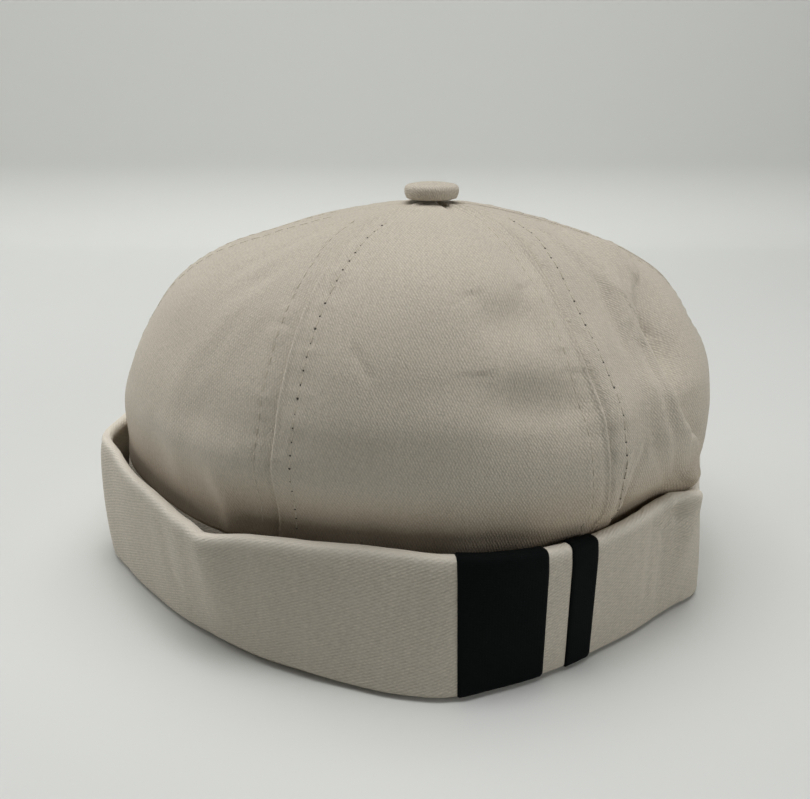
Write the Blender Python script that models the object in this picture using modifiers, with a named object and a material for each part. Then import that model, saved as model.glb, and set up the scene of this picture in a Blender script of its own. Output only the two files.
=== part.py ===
"""Skullcap: six cloth panels, a turned-up cuff, two black tapes and a covered button.

Metres, +Z up. The cuff's flat underside rests on z = 0, and the origin lies on that plane
in the middle of the cuff's plan. +X points to the back of the cap and -Y to the side with
the tapes. Azimuths are degrees about +Z from +X, so 180 is the front and 270 the taped side.
"""
import bisect
import math

import bmesh
import bpy
from mathutils import Vector

# Cuff: the band of cloth that hangs down inside, folds under and stands up outside.
CUFF_HALF_LENGTH = 0.1025
CUFF_HALF_WIDTH = 0.086
CUFF_HEIGHT = 0.0464
CUFF_CLOTH = 0.0022
BAND_CLOTH = 0.0015
BAND_HEIGHT = 0.038
FOLD_CLOTH = 0.0025
FOLD_SLOT = 0.0008
FOLD_ROUND = 0.0012

# Crown: six panels that meet at the button.
CROWN_CLEARANCE = 0.0003
CROWN_HEIGHT = 0.1235
CROWN_CLOTH = 0.0015
CROWN_LEAN = 0.12
APEX_BACK = 0.0108
APEX_SIDE = -0.0045
TIP_RADIUS = 0.0032
SEAM_GAP = 0.0004
BAND_GAP = 0.0003

# Tapes: two strips that lie across the cuff, over its rim and a little way down inside.
TAPE_START = 280.8
TAPE_BROAD = 0.027
TAPE_SLIM = 0.0100
TAPE_SPACING = 0.0080
TAPE_CLOTH = 0.0010
TAPE_TUCK = 0.006
TAPE_GAP = 0.0003
TAPE_HEM = 0.0010

# Button: a covered disc on a short post that goes down through the panels' tips.
BUTTON_RADIUS = 0.0085
BUTTON_HEIGHT = 0.0055
BUTTON_DOME = 0.0008
BUTTON_ROUND = 0.0012
BUTTON_HEM = 0.0005
BUTTON_GAP = 0.0003
POST_LENGTH = 0.0045
POST_GAP = 0.0010

# Fineness of the meshes.
CUFF_SECTIONS = 120
PANEL_COLUMNS = 12
FAR_PANEL_COLUMNS = 9
PANEL_ROWS = 22
ROW_CROWDING = 1.35
TAPE_ROWS = 9
TAPE_STEP = 0.0055
BUTTON_STEPS = 20
RIM_STEPS = 4
WALL_SHARES = (0.35, 0.70)
BAND_SHARES = (0.50, 1.00)
DOME_SHARES = (0.00, 0.45, 0.80)
ROUND_ANGLES = (75, 40, 0)
SHARP_ANGLE = 50
MERGE_DISTANCE = 0.00005

# The cuff's plan. Foot and rim are shares of the plain oval's radius, and the belly is the
# share that the wall bulges by half way up. The dip is the share of CUFF_HEIGHT by which
# the rim sags.
CUFF_ROWS = (
    # azimuth, foot, rim, dip, belly
    (0, 1.005, 1.010, 0.09, 0.000),
    (45, 1.020, 1.030, 0.00, 0.000),
    (90, 1.030, 1.040, 0.00, 0.000),
    (135, 1.015, 1.020, 0.00, 0.000),
    (160, 0.985, 0.978, 0.03, 0.006),
    (174, 0.970, 0.955, 0.03, 0.010),
    (185, 0.970, 0.972, 0.01, 0.014),
    (195, 0.924, 0.940, 0.00, 0.008),
    (210, 0.897, 0.934, 0.01, 0.000),
    (225, 0.905, 0.975, 0.04, 0.000),
    (231, 0.918, 1.000, 0.05, 0.000),
    (240, 0.943, 0.968, 0.02, 0.000),
    (252, 0.975, 0.962, 0.00, 0.000),
    (261, 1.007, 0.960, 0.00, 0.000),
    (270, 1.050, 0.981, 0.00, 0.000),
    (279, 1.076, 1.024, 0.00, 0.000),
    (288, 1.050, 1.046, 0.01, 0.000),
    (300, 1.023, 1.030, 0.04, 0.000),
    (315, 0.994, 0.999, 0.07, 0.000),
    (327, 0.998, 0.991, 0.08, 0.000),
    (330, 1.004, 1.026, 0.05, 0.000),
    (333, 1.014, 1.071, 0.05, 0.000),
    (339, 1.050, 1.022, 0.15, 0.006),
    (348, 1.020, 1.002, 0.15, 0.004),
)

# The crown's rings. Rise is the share of the way from the band's top up to the tips, and
# the other columns are shares of the oval's radius at five azimuths. The side that the
# tapes are not on mirrors the taped one.
CROWN_AZIMUTHS = (180, 225, 270, 315, 360)
CROWN_ROWS = (
    # rise, front, front side, side, back side, back
    (0.000, 0.955, 0.930, 0.942, 0.972, 0.982),
    (0.060, 0.953, 0.933, 0.945, 0.984, 0.994),
    (0.114, 0.950, 0.936, 0.952, 1.008, 1.014),
    (0.180, 0.945, 0.936, 0.965, 1.014, 1.012),
    (0.260, 0.936, 0.935, 0.973, 1.010, 1.000),
    (0.410, 0.905, 0.904, 0.967, 0.964, 0.966),
    (0.569, 0.849, 0.821, 0.888, 0.828, 0.874),
    (0.706, 0.775, 0.726, 0.777, 0.679, 0.775),
    (0.809, 0.658, 0.612, 0.653, 0.559, 0.633),
    (0.888, 0.471, 0.479, 0.491, 0.434, 0.450),
    (0.945, 0.292, 0.316, 0.302, 0.293, 0.272),
    (0.982, 0.115, 0.137, 0.113, 0.134, 0.122),
    (1.000, 0.000, 0.000, 0.000, 0.000, 0.000),
)

# Azimuths of the two seams beside the taped side panel, which lean a little as they rise.
SEAM_ROWS = (
    # rise, front side seam, back side seam
    (0.00, 243.5, 311),
    (0.10, 243.5, 311),
    (0.35, 242.5, 309),
    (0.60, 240, 309),
    (0.75, 238, 310),
    (0.85, 236, 312),
    (0.92, 232, 316),
    (1.00, 226, 322),
)

# Folds and dents of the crown: each follows a line of azimuth and rise. The width and
# the swell are shares of CROWN_FOLD, and a negative swell is a dent.
CROWN_FOLD = 0.010
CROWN_FOLDS = (
    # name, width, swell, line
    ("back ridge", 0.50, 0.22, ((346, 0.80), (331, 0.66), (327, 0.48), (329, 0.34), (337, 0.20))),
    ("back valley", 0.60, -0.18, ((336, 0.70), (320, 0.50), (319, 0.25))),
    ("back facet", 1.10, 0.04, ((347, 0.50), (346, 0.34))),
    ("low back ridge", 0.40, 0.12, ((323, 0.44), (324, 0.30), (331, 0.10))),
    ("side dent", 0.90, -0.20, ((291, 0.52), (302, 0.50))),
    ("top dent", 0.60, -0.12, ((300, 0.92), (307, 0.90))),
    ("pressed front", 1.60, -0.34, ((198, -0.20), (208, 0.10))),
    ("front swell", 1.30, 0.12, ((236, 0.37), (234, 0.42))),
    ("front ridge", 0.40, 0.10, ((232, 0.14), (233, 0.02))),
    ("back bulge", 0.36, 0.62, ((334, 0.07), (337, 0.06))),
)

CLOTH_COLOUR = (0.51, 0.465, 0.385, 1.0)
CLOTH_ROUGHNESS = 0.9
TAPE_COLOUR = (0.012, 0.013, 0.014, 1.0)
TAPE_ROUGHNESS = 0.75


def oval(azimuth, half_length, half_width):
    """Radius of an oval plan at an azimuth."""
    angle = math.radians(azimuth)
    return 1.0 / math.hypot(math.cos(angle) / half_length, math.sin(angle) / half_width)


def smooth(xs, ys, x):
    """Value at x of a smooth line through the points that never overshoots them."""
    place = min(max(bisect.bisect_right(xs, x) - 1, 0), len(xs) - 2)

    def slope(index):
        if index in (0, len(xs) - 1):
            return 0.0
        before = (ys[index] - ys[index - 1]) / (xs[index] - xs[index - 1])
        after = (ys[index + 1] - ys[index]) / (xs[index + 1] - xs[index])
        return 2.0 * before * after / (before + after) if before * after > 0.0 else 0.0

    span = xs[place + 1] - xs[place]
    t = min(max((x - xs[place]) / span, 0.0), 1.0)
    low = ys[place] * (1 + 2 * t) * (1 - t) ** 2 + ys[place + 1] * t * t * (3 - 2 * t)
    return low + span * (slope(place) * t * (1 - t) ** 2 - slope(place + 1) * t * t * (1 - t))


def cuff_value(azimuth, column):
    """A column of CUFF_ROWS at any azimuth, smooth all the way round."""
    rows = [(row[0] - 360, row[column]) for row in CUFF_ROWS[-2:]]
    rows += [(row[0], row[column]) for row in CUFF_ROWS]
    rows += [(row[0] + 360, row[column]) for row in CUFF_ROWS[:2]]
    return smooth([row[0] for row in rows], [row[1] for row in rows], azimuth % 360)


def crown_share(azimuth, rise):
    """Share of the oval's radius that the crown has at an azimuth and rise."""
    folded = azimuth % 360
    if folded < 180:
        folded = 360 - folded
    rises = [row[0] for row in CROWN_ROWS]
    spacing = CROWN_AZIMUTHS[1] - CROWN_AZIMUTHS[0]
    share = 0.0
    for column, centre in enumerate(CROWN_AZIMUTHS, start=1):
        off = min(abs(folded - centre) / spacing, 1.0)
        weight = 0.5 + 0.5 * math.cos(math.pi * off)
        share += weight * smooth(rises, [row[column] for row in CROWN_ROWS], rise)
    return share


def line_distance(azimuth, rise, line):
    """Distance over the cloth from a place on the crown to a fold's line."""
    across = math.radians(1.0) * CUFF_HALF_WIDTH
    up = CROWN_HEIGHT - BAND_HEIGHT
    place = Vector((azimuth * across, rise * up))
    nearest = math.inf
    for start, end in zip(line, line[1:]):
        a = Vector((start[0] * across, start[1] * up))
        b = Vector((end[0] * across, end[1] * up))
        along = max(0.0, min(1.0, (place - a).dot(b - a) / (b - a).length_squared))
        nearest = min(nearest, (place - a - along * (b - a)).length)
    return nearest


def crown_swell(azimuth, rise):
    """How far the folds push the cloth out at a place on the crown."""
    swell = 0.0
    for _, width, height, line in CROWN_FOLDS:
        off = line_distance(azimuth % 360, rise, line) / (width * CROWN_FOLD)
        swell += height * CROWN_FOLD * math.exp(-0.5 * off * off)
    return swell


def crown_axis(rise):
    """Where the middle of the crown's ring is at a rise."""
    return Vector((APEX_BACK, APEX_SIDE)) * rise


def crown_point(azimuth, rise):
    """A point on the crown's outer face."""
    inset = CUFF_CLOTH + CROWN_CLEARANCE
    reach = oval(azimuth, CUFF_HALF_LENGTH - inset, CUFF_HALF_WIDTH - inset) - TIP_RADIUS
    swell = crown_swell(azimuth, rise)
    facing = 0.5 * math.pi * rise * rise
    radius = TIP_RADIUS + reach * crown_share(azimuth, rise) + swell * math.cos(facing)
    angle = math.radians(azimuth)
    x, y = crown_axis(rise) + radius * Vector((math.cos(angle), math.sin(angle)))
    z = BAND_HEIGHT + (CROWN_HEIGHT - BAND_HEIGHT) * rise + swell * math.sin(facing)
    return Vector((x, y, z - CROWN_LEAN * y * rise))


def cuff_foot(azimuth):
    """Radius of the cuff's outer face at the floor."""
    return cuff_value(azimuth, 1) * oval(azimuth, CUFF_HALF_LENGTH, CUFF_HALF_WIDTH)


def cuff_rim(azimuth):
    """Radius of the cuff's outer face at its rim."""
    return cuff_value(azimuth, 2) * oval(azimuth, CUFF_HALF_LENGTH, CUFF_HALF_WIDTH)


def rim_height(azimuth):
    """Height of the cuff's rim."""
    return CUFF_HEIGHT * (1.0 - cuff_value(azimuth, 3))


def outer_face(azimuth, height):
    """Radius of the cuff's outer face at a height."""
    share = height / rim_height(azimuth)
    belly = cuff_value(azimuth, 4) * oval(azimuth, CUFF_HALF_LENGTH, CUFF_HALF_WIDTH)
    straight = cuff_foot(azimuth) * (1.0 - share) + cuff_rim(azimuth) * share
    return straight + belly * 4.0 * share * (1.0 - share)


def rim_arc(azimuth, radius):
    """Points of the round rim, from its outer side over the top to its inner side."""
    middle = cuff_rim(azimuth) - CUFF_CLOTH / 2
    height = rim_height(azimuth) - CUFF_CLOTH / 2
    turns = [math.pi * step / RIM_STEPS for step in range(RIM_STEPS + 1)]
    return [(middle + radius * math.cos(turn), height + radius * math.sin(turn)) for turn in turns]


def cuff_section(azimuth):
    """Radius and height of each corner of the cuff's section, out and up, then in and down."""
    foot = cuff_foot(azimuth)
    top = rim_height(azimuth) - CUFF_CLOTH
    base = crown_point(azimuth, 0.0).to_2d().length
    slot_out = outer_face(azimuth, FOLD_CLOTH) - CUFF_CLOTH
    slot_in = slot_out - FOLD_SLOT
    inner_foot = slot_in - BAND_CLOTH
    band_top = BAND_HEIGHT - BAND_GAP
    section = [(foot - FOLD_ROUND, 0.0), (outer_face(azimuth, FOLD_ROUND), FOLD_ROUND)]
    section += [(outer_face(azimuth, share * top), share * top) for share in WALL_SHARES]
    section += rim_arc(azimuth, CUFF_CLOTH / 2)
    for share in reversed(WALL_SHARES):
        section.append((outer_face(azimuth, share * top) - CUFF_CLOTH, share * top))
    section += [(slot_out, FOLD_CLOTH), (slot_in, FOLD_CLOTH)]
    for share in BAND_SHARES:
        section.append((slot_in + share * (base - slot_in), FOLD_CLOTH + share * (band_top - FOLD_CLOTH)))
    for share in (*reversed(BAND_SHARES), 0.0):
        radius = inner_foot + share * (base - BAND_CLOTH - inner_foot)
        section.append((radius, FOLD_ROUND + share * (band_top - FOLD_ROUND)))
    section.append((inner_foot + FOLD_ROUND, 0.0))
    return section


def plan_middle():
    """Middle of the box around the cuff and the crown, which every object is moved back by."""
    points = []
    for step in range(CUFF_SECTIONS):
        azimuth = 360 * step / CUFF_SECTIONS
        turn = Vector((math.cos(math.radians(azimuth)), math.sin(math.radians(azimuth))))
        points += [radius * turn for radius, _ in cuff_section(azimuth)]
        points += [crown_point(azimuth, row[0]).to_2d() for row in CROWN_ROWS]
    xs = [point.x for point in points]
    ys = [point.y for point in points]
    return Vector(((min(xs) + max(xs)) / 2, (min(ys) + max(ys)) / 2, 0.0))


def material(name, colour, roughness):
    """A cloth material with the part's colour and roughness."""
    made = bpy.data.materials.new(name)
    made.use_nodes = True
    shader = made.node_tree.nodes["Principled BSDF"]
    shader.inputs["Base Color"].default_value = colour
    shader.inputs["Roughness"].default_value = roughness
    shader.inputs["Metallic"].default_value = 0.0
    made.diffuse_color = colour
    return made


def add_object(name, shape, middle, colour=CLOTH_COLOUR, roughness=CLOTH_ROUGHNESS):
    """Put a shape in the cap's collection, moved so that the origin is in the plan's middle."""
    mesh = bpy.data.meshes.new(name)
    shape.to_mesh(mesh)
    shape.free()
    mesh.shade_smooth()
    mesh.materials.append(material(name, colour, roughness))
    made = bpy.data.objects.new(name, mesh)
    made.location = -middle
    bpy.data.collections["skullcap"].objects.link(made)
    return made


def grid(columns, rows, place):
    """A sheet of faces whose corners stand where place(across, up) puts them, both 0 to 1."""
    sheet = bmesh.new()
    bmesh.ops.create_grid(sheet, x_segments=columns, y_segments=rows, size=0.5)
    for corner in sheet.verts:
        corner.co = place(corner.co.x + 0.5, corner.co.y + 0.5)
    return sheet


def thicken(cloth, thickness, outward):
    """Give an open sheet of cloth its thickness, on one side of the modelled face."""
    shell = cloth.modifiers.new("cloth", "SOLIDIFY")
    shell.thickness = thickness
    shell.offset = 1.0 if outward else -1.0
    shell.use_even_offset = False


def near_seam(column):
    """Azimuth of one of the two leaning seams at any rise."""
    rises = [row[0] for row in SEAM_ROWS]
    azimuths = [row[column] for row in SEAM_ROWS]
    return lambda rise: smooth(rises, azimuths, rise)


def straight_seam(azimuth):
    """A seam that keeps one azimuth."""
    return lambda _: azimuth


def mirrored(seam):
    """The same seam on the other side of the cap, one turn on."""
    return lambda rise: 720 - seam(rise)


def crown_panel(name, seam, next_seam, columns, middle):
    """One panel between two seams, with half the seam's gap left on each side."""

    def place(across, up):
        rise = 1.0 - (1.0 - up) ** ROW_CROWDING
        start, end = seam(rise), next_seam(rise)
        reach = (crown_point((start + end) / 2, rise).to_2d() - crown_axis(rise)).length
        margin = math.degrees(SEAM_GAP / 2 / reach)
        return crown_point(start + margin + across * (end - start - 2 * margin), rise)

    panel = add_object(name, grid(columns, PANEL_ROWS, place), middle)
    thicken(panel, CROWN_CLOTH, outward=False)


def crown(middle):
    """The six panels in order from the front seam, the taped side's three first."""
    front_side, back_side = near_seam(1), near_seam(2)
    seams = [straight_seam(180), front_side, back_side, straight_seam(360)]
    seams += [mirrored(back_side), mirrored(front_side), straight_seam(540)]
    panels = (
        ("crown_front_left", PANEL_COLUMNS),
        ("crown_side_left", PANEL_COLUMNS),
        ("crown_back_left", PANEL_COLUMNS),
        ("crown_back_right", FAR_PANEL_COLUMNS),
        ("crown_side_right", FAR_PANEL_COLUMNS),
        ("crown_front_right", FAR_PANEL_COLUMNS),
    )
    for (name, columns), seam, next_seam in zip(panels, seams, seams[1:]):
        crown_panel(name, seam, next_seam, columns, middle)


def cuff(middle):
    """The cuff: one closed section carried all the way round."""
    ring = bmesh.new()
    loops = []
    for step in range(CUFF_SECTIONS):
        azimuth = 360 * step / CUFF_SECTIONS
        angle = math.radians(azimuth)
        corners = []
        for radius, height in cuff_section(azimuth):
            corners.append(ring.verts.new((radius * math.cos(angle), radius * math.sin(angle), height)))
        loops.append(corners)
    for loop, following in zip(loops, loops[1:] + loops[:1]):
        for index, corner in enumerate(loop):
            above = (index + 1) % len(loop)
            ring.faces.new((corner, following[index], following[above], loop[above]))
    made = add_object("cuff", ring, middle)
    made.data.set_sharp_from_angle(angle=math.radians(SHARP_ANGLE))


def tape(name, start, width, middle):
    """A strip of tape across the cuff: up its outer face, over the rim and down inside."""
    span = math.degrees(width / outer_face(start, CUFF_HEIGHT / 2))

    def route(azimuth):
        hem = FOLD_ROUND + TAPE_HEM
        top = rim_height(azimuth) - CUFF_CLOTH
        line = []
        for step in range(TAPE_ROWS):
            height = hem + (top - hem) * step / TAPE_ROWS
            line.append((outer_face(azimuth, height) + TAPE_GAP, height))
        line += rim_arc(azimuth, CUFF_CLOTH / 2 + TAPE_GAP)
        tucked = rim_height(azimuth) - TAPE_TUCK
        line.append((outer_face(azimuth, tucked) - CUFF_CLOTH - TAPE_GAP, tucked))
        return line

    rows = len(route(start)) - 1

    def place(across, up):
        azimuth = start + across * span
        radius, height = route(azimuth)[round(up * rows)]
        angle = math.radians(azimuth)
        return Vector((radius * math.cos(angle), radius * math.sin(angle), height))

    columns = max(2, round(width / TAPE_STEP))
    made = add_object(name, grid(columns, rows, place), middle, TAPE_COLOUR, TAPE_ROUGHNESS)
    thicken(made, TAPE_CLOTH, outward=True)
    return start + span


def tapes(middle):
    """The broad and the slim tape, side by side."""
    end = tape("tape_broad", TAPE_START, TAPE_BROAD, middle)
    spacing = math.degrees(TAPE_SPACING / outer_face(end, CUFF_HEIGHT / 2))
    tape("tape_slim", end + spacing, TAPE_SLIM, middle)


def button(middle):
    """The covered button, turned from one profile and tipped with the crown."""
    post = TIP_RADIUS - POST_GAP
    flat = BUTTON_RADIUS - BUTTON_ROUND
    edge = BUTTON_HEIGHT - BUTTON_DOME
    profile = [(share * flat, BUTTON_HEIGHT - BUTTON_DOME * share**2) for share in DOME_SHARES]
    for degrees in ROUND_ANGLES:
        turn = math.radians(degrees)
        profile.append((flat + BUTTON_ROUND * math.cos(turn), edge - BUTTON_ROUND * (1 - math.sin(turn))))
    profile += [(BUTTON_RADIUS, BUTTON_HEM), (BUTTON_RADIUS - BUTTON_HEM, 0.0)]
    profile += [(post, 0.0), (post, -POST_LENGTH), (0.0, -POST_LENGTH)]
    line = bmesh.new()
    corners = [line.verts.new((radius, 0.0, height)) for radius, height in profile]
    for upper, lower in zip(corners, corners[1:]):
        line.edges.new((upper, lower))
    made = add_object("crown_button", line, middle)
    turned = made.modifiers.new("turned", "SCREW")
    turned.steps = BUTTON_STEPS
    turned.render_steps = BUTTON_STEPS
    turned.use_merge_vertices = True
    turned.merge_threshold = MERGE_DISTANCE
    tips = CROWN_HEIGHT - CROWN_LEAN * APEX_SIDE
    made.location = Vector((APEX_BACK, APEX_SIDE, tips + BUTTON_GAP)) - middle
    made.rotation_euler.x = -math.atan(CROWN_LEAN)


def main():
    """Clear the scene and build the cap."""
    for old in list(bpy.data.objects):
        bpy.data.objects.remove(old, do_unlink=True)
    bpy.context.scene.collection.children.link(bpy.data.collections.new("skullcap"))
    middle = plan_middle()
    cuff(middle)
    crown(middle)
    tapes(middle)
    button(middle)


main()
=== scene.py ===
import math

import bpy
import numpy as np
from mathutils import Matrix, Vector


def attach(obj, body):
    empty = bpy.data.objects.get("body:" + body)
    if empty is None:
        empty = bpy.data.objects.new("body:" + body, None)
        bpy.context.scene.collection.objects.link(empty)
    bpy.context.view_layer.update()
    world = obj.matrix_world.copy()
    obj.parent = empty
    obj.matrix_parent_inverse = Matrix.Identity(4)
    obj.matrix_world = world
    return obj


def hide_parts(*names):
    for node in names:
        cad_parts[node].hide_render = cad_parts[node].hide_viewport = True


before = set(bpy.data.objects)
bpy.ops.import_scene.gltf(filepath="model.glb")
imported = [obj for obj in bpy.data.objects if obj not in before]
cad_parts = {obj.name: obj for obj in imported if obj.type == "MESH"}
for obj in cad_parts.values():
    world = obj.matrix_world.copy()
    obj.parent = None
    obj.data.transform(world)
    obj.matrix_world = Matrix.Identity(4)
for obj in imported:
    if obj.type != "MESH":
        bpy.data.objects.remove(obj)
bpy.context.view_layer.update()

# Sizes of the CAD model, repeated so that the cloth lies where its solids are.
CUFF_HALF_LENGTH = 0.1025
CUFF_HALF_WIDTH = 0.086
CUFF_HEIGHT = 0.0464
CUFF_CLOTH = 0.0022
BAND_CLOTH = 0.0015
BAND_HEIGHT = 0.038
BAND_GAP = 0.0003
FOLD_CLOTH = 0.0025
FOLD_SLOT = 0.0008
CROWN_CLEARANCE = 0.0003
CROWN_HEIGHT = 0.1235
CROWN_LEAN = 0.12
APEX_BACK = 0.0108
APEX_SIDE = -0.0045
TIP_RADIUS = 0.0032
TAPE_START = 280.8
TAPE_BROAD = 0.027
TAPE_SLIM = 0.0100
TAPE_SPACING = 0.0080
TAPE_TUCK = 0.006
BUTTON_RADIUS = 0.0085
BUTTON_HEIGHT = 0.0055
BUTTON_GAP = 0.0003

CUFF_ROWS = (
    # azimuth, foot, rim, dip, belly
    (0, 1.005, 1.010, 0.09, 0.000),
    (45, 1.020, 1.030, 0.00, 0.000),
    (90, 1.030, 1.040, 0.00, 0.000),
    (135, 1.015, 1.020, 0.00, 0.000),
    (160, 0.985, 0.978, 0.03, 0.006),
    (174, 0.970, 0.955, 0.03, 0.010),
    (185, 0.970, 0.972, 0.01, 0.014),
    (195, 0.924, 0.940, 0.00, 0.008),
    (210, 0.897, 0.934, 0.01, 0.000),
    (225, 0.905, 0.975, 0.04, 0.000),
    (231, 0.918, 1.000, 0.05, 0.000),
    (240, 0.943, 0.968, 0.02, 0.000),
    (252, 0.975, 0.962, 0.00, 0.000),
    (261, 1.007, 0.960, 0.00, 0.000),
    (270, 1.050, 0.981, 0.00, 0.000),
    (279, 1.076, 1.024, 0.00, 0.000),
    (288, 1.050, 1.046, 0.01, 0.000),
    (300, 1.023, 1.030, 0.04, 0.000),
    (315, 0.994, 0.999, 0.07, 0.000),
    (327, 0.998, 0.991, 0.08, 0.000),
    (330, 1.004, 1.026, 0.05, 0.000),
    (333, 1.014, 1.071, 0.05, 0.000),
    (339, 1.050, 1.022, 0.15, 0.006),
    (348, 1.020, 1.002, 0.15, 0.004),
)
CROWN_AZIMUTHS = (180, 225, 270, 315, 360)
CROWN_ROWS = (
    # rise, front, front side, side, back side, back
    (0.000, 0.955, 0.930, 0.942, 0.972, 0.982),
    (0.060, 0.953, 0.933, 0.945, 0.984, 0.994),
    (0.114, 0.950, 0.936, 0.952, 1.008, 1.014),
    (0.180, 0.945, 0.936, 0.965, 1.014, 1.012),
    (0.260, 0.936, 0.935, 0.973, 1.010, 1.000),
    (0.410, 0.905, 0.904, 0.967, 0.964, 0.966),
    (0.569, 0.849, 0.821, 0.888, 0.828, 0.874),
    (0.706, 0.775, 0.726, 0.777, 0.679, 0.775),
    (0.809, 0.658, 0.612, 0.653, 0.559, 0.633),
    (0.888, 0.471, 0.479, 0.491, 0.434, 0.450),
    (0.945, 0.292, 0.316, 0.302, 0.293, 0.272),
    (0.982, 0.115, 0.137, 0.113, 0.134, 0.122),
    (1.000, 0.000, 0.000, 0.000, 0.000, 0.000),
)
SEAM_ROWS = (
    # rise, front side seam, back side seam
    (0.00, 243.5, 311),
    (0.10, 243.5, 311),
    (0.35, 242.5, 309),
    (0.60, 240, 309),
    (0.75, 238, 310),
    (0.85, 236, 312),
    (0.92, 232, 316),
    (1.00, 226, 322),
)
CROWN_FOLD = 0.010
CROWN_FOLDS = (
    # width and swell as shares of CROWN_FOLD, line of azimuth and rise
    (0.50, 0.22, ((346, 0.80), (331, 0.66), (327, 0.48), (329, 0.34), (337, 0.20))),
    (0.60, -0.18, ((336, 0.70), (320, 0.50), (319, 0.25))),
    (1.10, 0.04, ((347, 0.50), (346, 0.34))),
    (0.40, 0.12, ((323, 0.44), (324, 0.30), (331, 0.10))),
    (0.90, -0.20, ((291, 0.52), (302, 0.50))),
    (0.60, -0.12, ((300, 0.92), (307, 0.90))),
    (1.60, -0.34, ((198, -0.20), (208, 0.10))),
    (1.30, 0.12, ((236, 0.37), (234, 0.42))),
    (0.40, 0.10, ((232, 0.14), (233, 0.02))),
    (0.36, 0.62, ((334, 0.07), (337, 0.06))),
)

# Creases that only the cloth shows. The width to either side and the height are in millimetres.
CREASES = (
    # width before and after the line, height, line of azimuth and rise from its top down
    (3.6, 0.9, 0.90, ((354, 0.84), (342, 0.83), (333.8, 0.77), (329.8, 0.71), (327.6, 0.66))),
    (1.6, 5.0, -1.30, ((349, 0.80), (338.8, 0.725), (333.4, 0.66), (331.8, 0.60))),
    (1.8, 5.0, -1.30, ((340, 0.735), (338.8, 0.725), (333.4, 0.66), (331.8, 0.60))),
    (1.4, 4.6, -2.40, ((331.4, 0.62), (330.6, 0.56), (328.7, 0.48), (328.6, 0.40), (332.2, 0.29))),
    (1.4, 4.6, -1.50, ((331.4, 0.62), (330.6, 0.56), (328.7, 0.48), (328.6, 0.40), (329.2, 0.36))),
    (1.0, 2.0, -0.80, ((332.8, 0.29), (337, 0.21))),
    (5.0, 6.0, 1.20, ((344, 0.60), (341, 0.50), (339, 0.42), (340, 0.34))),
    (2.5, 6.0, 1.00, ((330.6, 0.86), (329.8, 0.81), (330, 0.76))),
    (4.0, 8.0, 1.00, ((312, 0.55), (311.5, 0.44), (312.5, 0.33))),
    (1.4, 1.6, -0.60, ((331, 0.82), (328, 0.78), (325.2, 0.72), (323.4, 0.655), (322.2, 0.60))),
    (1.1, 1.8, -1.10, (
        (326.8, 0.58), (325.4, 0.52), (324, 0.44), (324, 0.37), (325, 0.31), (328, 0.19), (331.8, 0.08),
    )),
    (1.1, 2.4, -1.00, ((320.6, 0.31), (321.6, 0.27), (324.6, 0.19), (328.6, 0.10))),
    (1.1, 1.2, -0.90, ((318.6, 0.31), (318, 0.27), (317.4, 0.22), (316.8, 0.15), (317.4, 0.09))),
    (1.1, 1.2, -0.80, ((315.2, 0.29), (314.8, 0.25), (314, 0.19), (314, 0.12))),
    (3.6, 5.5, 1.50, ((287, 0.79), (294, 0.79))),
    (4.0, 4.0, -1.10, ((287, 0.725), (296, 0.72))),
    (4.6, 6.5, 1.90, ((288, 0.59), (294, 0.59), (301, 0.575))),
    (4.0, 4.0, -1.60, ((290, 0.51), (296, 0.49), (303, 0.475))),
    (5.0, 5.0, -0.90, ((224, 0.42), (240, 0.42))),
    (9.0, 9.0, -0.90, ((248, 0.44), (268, 0.44))),
    (6.0, 6.0, 1.00, ((207, 0.31), (222, 0.28), (233, 0.28))),
    (4.0, 4.0, 0.35, ((302, 0.74), (304, 0.66))),
    (3.5, 3.5, 0.30, ((238, 0.88), (240, 0.83))),
    (5.0, 5.0, 0.30, ((251, 0.57), (258, 0.55))),
    (1.0, 1.0, -0.50, ((255.2, 0.645), (259.4, 0.585))),
    (3.0, 3.0, 0.95, ((229.6, 0.19), (231.4, 0.12), (232.6, 0.02))),
    (4.5, 4.0, 0.70, ((217, 0.30), (216, 0.16))),
    (3.0, 3.0, -0.40, ((207, 0.80), (211, 0.89))),
    (3.0, 3.0, -0.35, ((212, 0.73), (221, 0.83))),
    (3.5, 3.5, 0.40, ((222, 0.78), (214, 0.55), (213, 0.35))),
    (3.0, 3.0, 0.30, ((226, 0.70), (222, 0.50))),
    (2.2, 2.2, 0.35, ((20, 0.62), (27, 0.40), (24, 0.20))),
    (1.6, 1.6, 0.30, ((38, 0.30), (44, 0.10))),
    (2.4, 2.4, -0.40, ((76, 0.55), (88, 0.45), (95, 0.30))),
    (2.0, 2.0, 0.30, ((104, 0.26), (101, 0.08))),
    (2.6, 2.6, 0.35, ((140, 0.60), (148, 0.38), (144, 0.18))),
    (1.5, 1.5, 0.30, ((160, 0.24), (163, 0.06))),
)

# The waist, where the crown draws in behind the cuff's rim: full up to one rise, gone from another.
WAIST_FULL = 0.04
WAIST_REACH = 0.33
WAIST_ROWS = (
    # azimuth, depth in millimetres
    (0, 1.5), (60, 2.0), (150, 2.0), (195, 3.0), (208, 2.8), (226, 3.4),
    (238, 5.6), (262, 5.8), (274, 3.6), (284, 1.4), (300, 0.8), (314.5, 0.6),
    (317, 3.2), (326, 3.1), (331, 1.8), (336, 1.0), (348, 0.6), (360, 1.5),
)

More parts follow.
